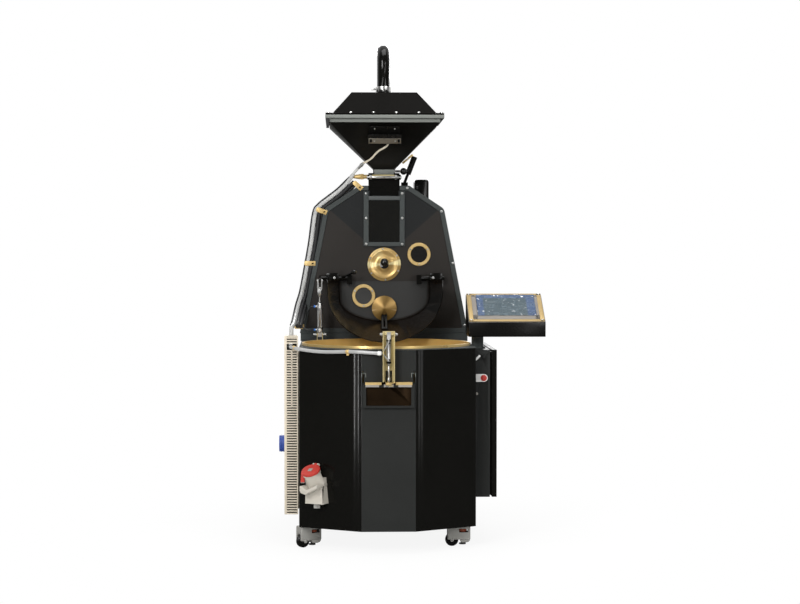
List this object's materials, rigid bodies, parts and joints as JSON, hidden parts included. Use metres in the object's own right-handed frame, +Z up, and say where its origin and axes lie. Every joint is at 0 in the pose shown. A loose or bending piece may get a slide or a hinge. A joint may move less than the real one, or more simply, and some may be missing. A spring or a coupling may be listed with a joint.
{
  "type": "coffee bean roaster",
  "caption": "Floor-standing drum roaster: cabinet with a round cooling tray, roasting head with discharge chute, hopper with a bolted cover, side cabinet and operator panel.",
  "frame": {"origin": "on the floor under the middle of the whole machine's box", "axes": "+Z up, +Y towards the back, +X to the right of someone who faces the machine"},
  "size_m": [1.062, 1.48, 2.0347],
  "materials": {
    "gloss_black": "gloss black paint",
    "textured_grey": "fine textured dark grey paint",
    "satin_grey": "satin dark grey paint",
    "door_grey": "satin grey paint",
    "brass": "spun and polished",
    "pale_brass": "passivated pale gold",
    "steel": "brushed",
    "black_plastic": "moulded",
    "panel_black": "black box with a screen",
    "beige_plastic": "moulded",
    "red_plastic": "moulded",
    "blue_plastic": "moulded",
    "pale_hose": "smooth pale hose",
    "cast_grey": "cast and painted",
    "dark_rubber": "moulded",
    "window_glass": "dark behind"
  },
  "bodies": {
    "machine": {"base_frame": "textured_grey", "front_shell": "gloss_black", "back_panel": "gloss_black", "top_deck": "textured_grey", "cooling_tray": "brass", "tray_sieve": "steel", "stirrer_motor": "cast_grey", "cooling_fan": "cast_grey", "outlet_frame": "textured_grey", "gate_channel": "pale_brass", "gate_cylinder": "steel", "head_border": "textured_grey", "face_panel": "satin_grey", "head_shell": "gloss_black", "head_back": "gloss_black", "drum_motor": "cast_grey", "gas_burner": "steel", "bearing_cover": "brass", "sight_glass_right": "brass", "discharge_chute": "gloss_black", "cylinder_foot": "pale_brass", "charge_frame": "textured_grey", "charge_window": "window_glass", "charge_neck": "gloss_black", "hopper": "gloss_black", "hopper_cover": "gloss_black", "suction_pipe": "gloss_black", "hopper_vibrator": "black_plastic", "neck_actuator": "black_plastic", "exhaust_box": "gloss_black", "cable_duct": "beige_plastic", "power_inlet": "beige_plastic", "side_socket": "blue_plastic", "hmi_post": "textured_grey", "switch_cabinet": "gloss_black", "edge_conduit": "pale_hose", "front_hose": "pale_hose"},
    "stirrer": {"stirrer": "steel"},
    "outlet_gate": {"outlet_gate": "brass"},
    "drum": {"roasting_drum": "steel"},
    "sampler": {"sampler": "steel"},
    "discharge_door": {"discharge_door": "door_grey", "door_weight": "brass", "sight_glass_left": "brass", "door_shaft": "gloss_black"},
    "door_cylinder": {"door_cylinder": "steel"},
    "door_rod": {"door_rod": "steel"},
    "hopper_slide": {"hopper_slide": "steel"},
    "operator_panel": {"hmi_box": "panel_black"},
    "cabinet_door": {"cabinet_door": "gloss_black"},
    "main_switch": {"main_switch": "red_plastic"},
    "inlet_lid": {"inlet_lid": "red_plastic"},
    "caster_front_left": {"caster_fork_front_left": "cast_grey"},
    "wheel_front_left": {"caster_wheel_front_left": "dark_rubber"},
    "caster_front_right": {"caster_fork_front_right": "cast_grey"},
    "wheel_front_right": {"caster_wheel_front_right": "dark_rubber"},
    "caster_rear_left": {"caster_fork_rear_left": "cast_grey"},
    "wheel_rear_left": {"caster_wheel_rear_left": "dark_rubber"},
    "caster_rear_right": {"caster_fork_rear_right": "cast_grey"},
    "wheel_rear_right": {"caster_wheel_rear_right": "dark_rubber"}
  },
  "joints": [
    {"name": "stirrer_spin", "type": "hinge", "parent": "machine", "child": "stirrer", "pos_m": [-0.101, -0.34, 0.565], "axis": [0, 0, 1], "continuous": true},
    {"name": "drum_spin", "type": "hinge", "parent": "machine", "child": "drum", "pos_m": [-0.101, 0.495, 1.102], "axis": [0, 1, 0], "continuous": true},
    {"name": "sampler_slide", "type": "slide", "parent": "machine", "child": "sampler", "axis": [0, -1, 0], "range_m": [0, 0.15]},
    {"name": "outlet_gate_lift", "type": "slide", "parent": "machine", "child": "outlet_gate", "axis": [0, 0, 1], "range_m": [0, 0.042]},
    {"name": "discharge_door_swing", "type": "hinge", "parent": "machine", "child": "discharge_door", "pos_m": [-0.101, -0.015, 1.044], "axis": [-1, 0, 0], "range_deg": [0, 35]},
    {"name": "door_cylinder_swing", "type": "hinge", "parent": "machine", "child": "door_cylinder", "pos_m": [-0.369, -0.09962, 0.813], "axis": [-1, 0, 0], "range_deg": [0, 2.25]},
    {"name": "door_rod_slide", "type": "slide", "parent": "door_cylinder", "child": "door_rod", "axis": [0, 0, 1], "range_m": [0, 0.0503]},
    {"name": "hopper_slide_pull", "type": "slide", "parent": "machine", "child": "hopper_slide", "axis": [1, 0, 0], "range_m": [0, 0.06]},
    {"name": "operator_panel_swivel", "type": "hinge", "parent": "machine", "child": "operator_panel", "pos_m": [0.2745, -0.33, 0.817], "axis": [0, 0, 1], "range_deg": [-30, 30]},
    {"name": "cabinet_door_hinge", "type": "hinge", "parent": "machine", "child": "cabinet_door", "pos_m": [0.3123, 0.1265, 0.188], "axis": [0, 0, 1], "range_deg": [0, 100]},
    {"name": "main_switch_turn", "type": "hinge", "parent": "machine", "child": "main_switch", "pos_m": [0.279, -0.4843, 0.659], "axis": [0, -1, 0], "range_deg": [0, 90]},
    {"name": "inlet_lid_hinge", "type": "hinge", "parent": "machine", "child": "inlet_lid", "pos_m": [-0.37886, -0.61263, 0.3323], "axis": [-0.8638, 0.5039, 0], "range_deg": [0, 110], "stiffness_Nm_per_rad": 0.02, "springref_deg": -17.19},
    {"name": "caster_swivel_front_left", "type": "hinge", "parent": "machine", "child": "caster_front_left", "pos_m": [-0.396, -0.51, 0.08], "axis": [0, 0, 1], "continuous": true},
    {"name": "wheel_spin_front_left", "type": "hinge", "parent": "caster_front_left", "child": "wheel_front_left", "pos_m": [-0.43237, -0.531, 0.026], "axis": [-0.5, 0.866, 0], "continuous": true},
    {"name": "caster_swivel_front_right", "type": "hinge", "parent": "machine", "child": "caster_front_right", "pos_m": [0.194, -0.51, 0.08], "axis": [0, 0, 1], "continuous": true},
    {"name": "wheel_spin_front_right", "type": "hinge", "parent": "caster_front_right", "child": "wheel_front_right", "pos_m": [0.152, -0.51, 0.026], "axis": [0, 1, 0], "continuous": true},
    {"name": "caster_swivel_rear_left", "type": "hinge", "parent": "machine", "child": "caster_rear_left", "pos_m": [-0.396, 0.46, 0.08], "axis": [0, 0, 1], "continuous": true},
    {"name": "wheel_spin_rear_left", "type": "hinge", "parent": "caster_rear_left", "child": "wheel_rear_left", "pos_m": [-0.438, 0.46, 0.026], "axis": [0, 1, 0], "continuous": true},
    {"name": "caster_swivel_rear_right", "type": "hinge", "parent": "machine", "child": "caster_rear_right", "pos_m": [0.194, 0.46, 0.08], "axis": [0, 0, 1], "continuous": true},
    {"name": "wheel_spin_rear_right", "type": "hinge", "parent": "caster_rear_right", "child": "wheel_rear_right", "pos_m": [0.152, 0.46, 0.026], "axis": [0, 1, 0], "continuous": true}
  ],
  "couplings": [
    {"joint": "door_cylinder_swing", "follows": "discharge_door_swing", "ratio": 0.0642},
    {"joint": "door_rod_slide", "follows": "discharge_door_swing", "m_per_rad": 0.0822}
  ]
}
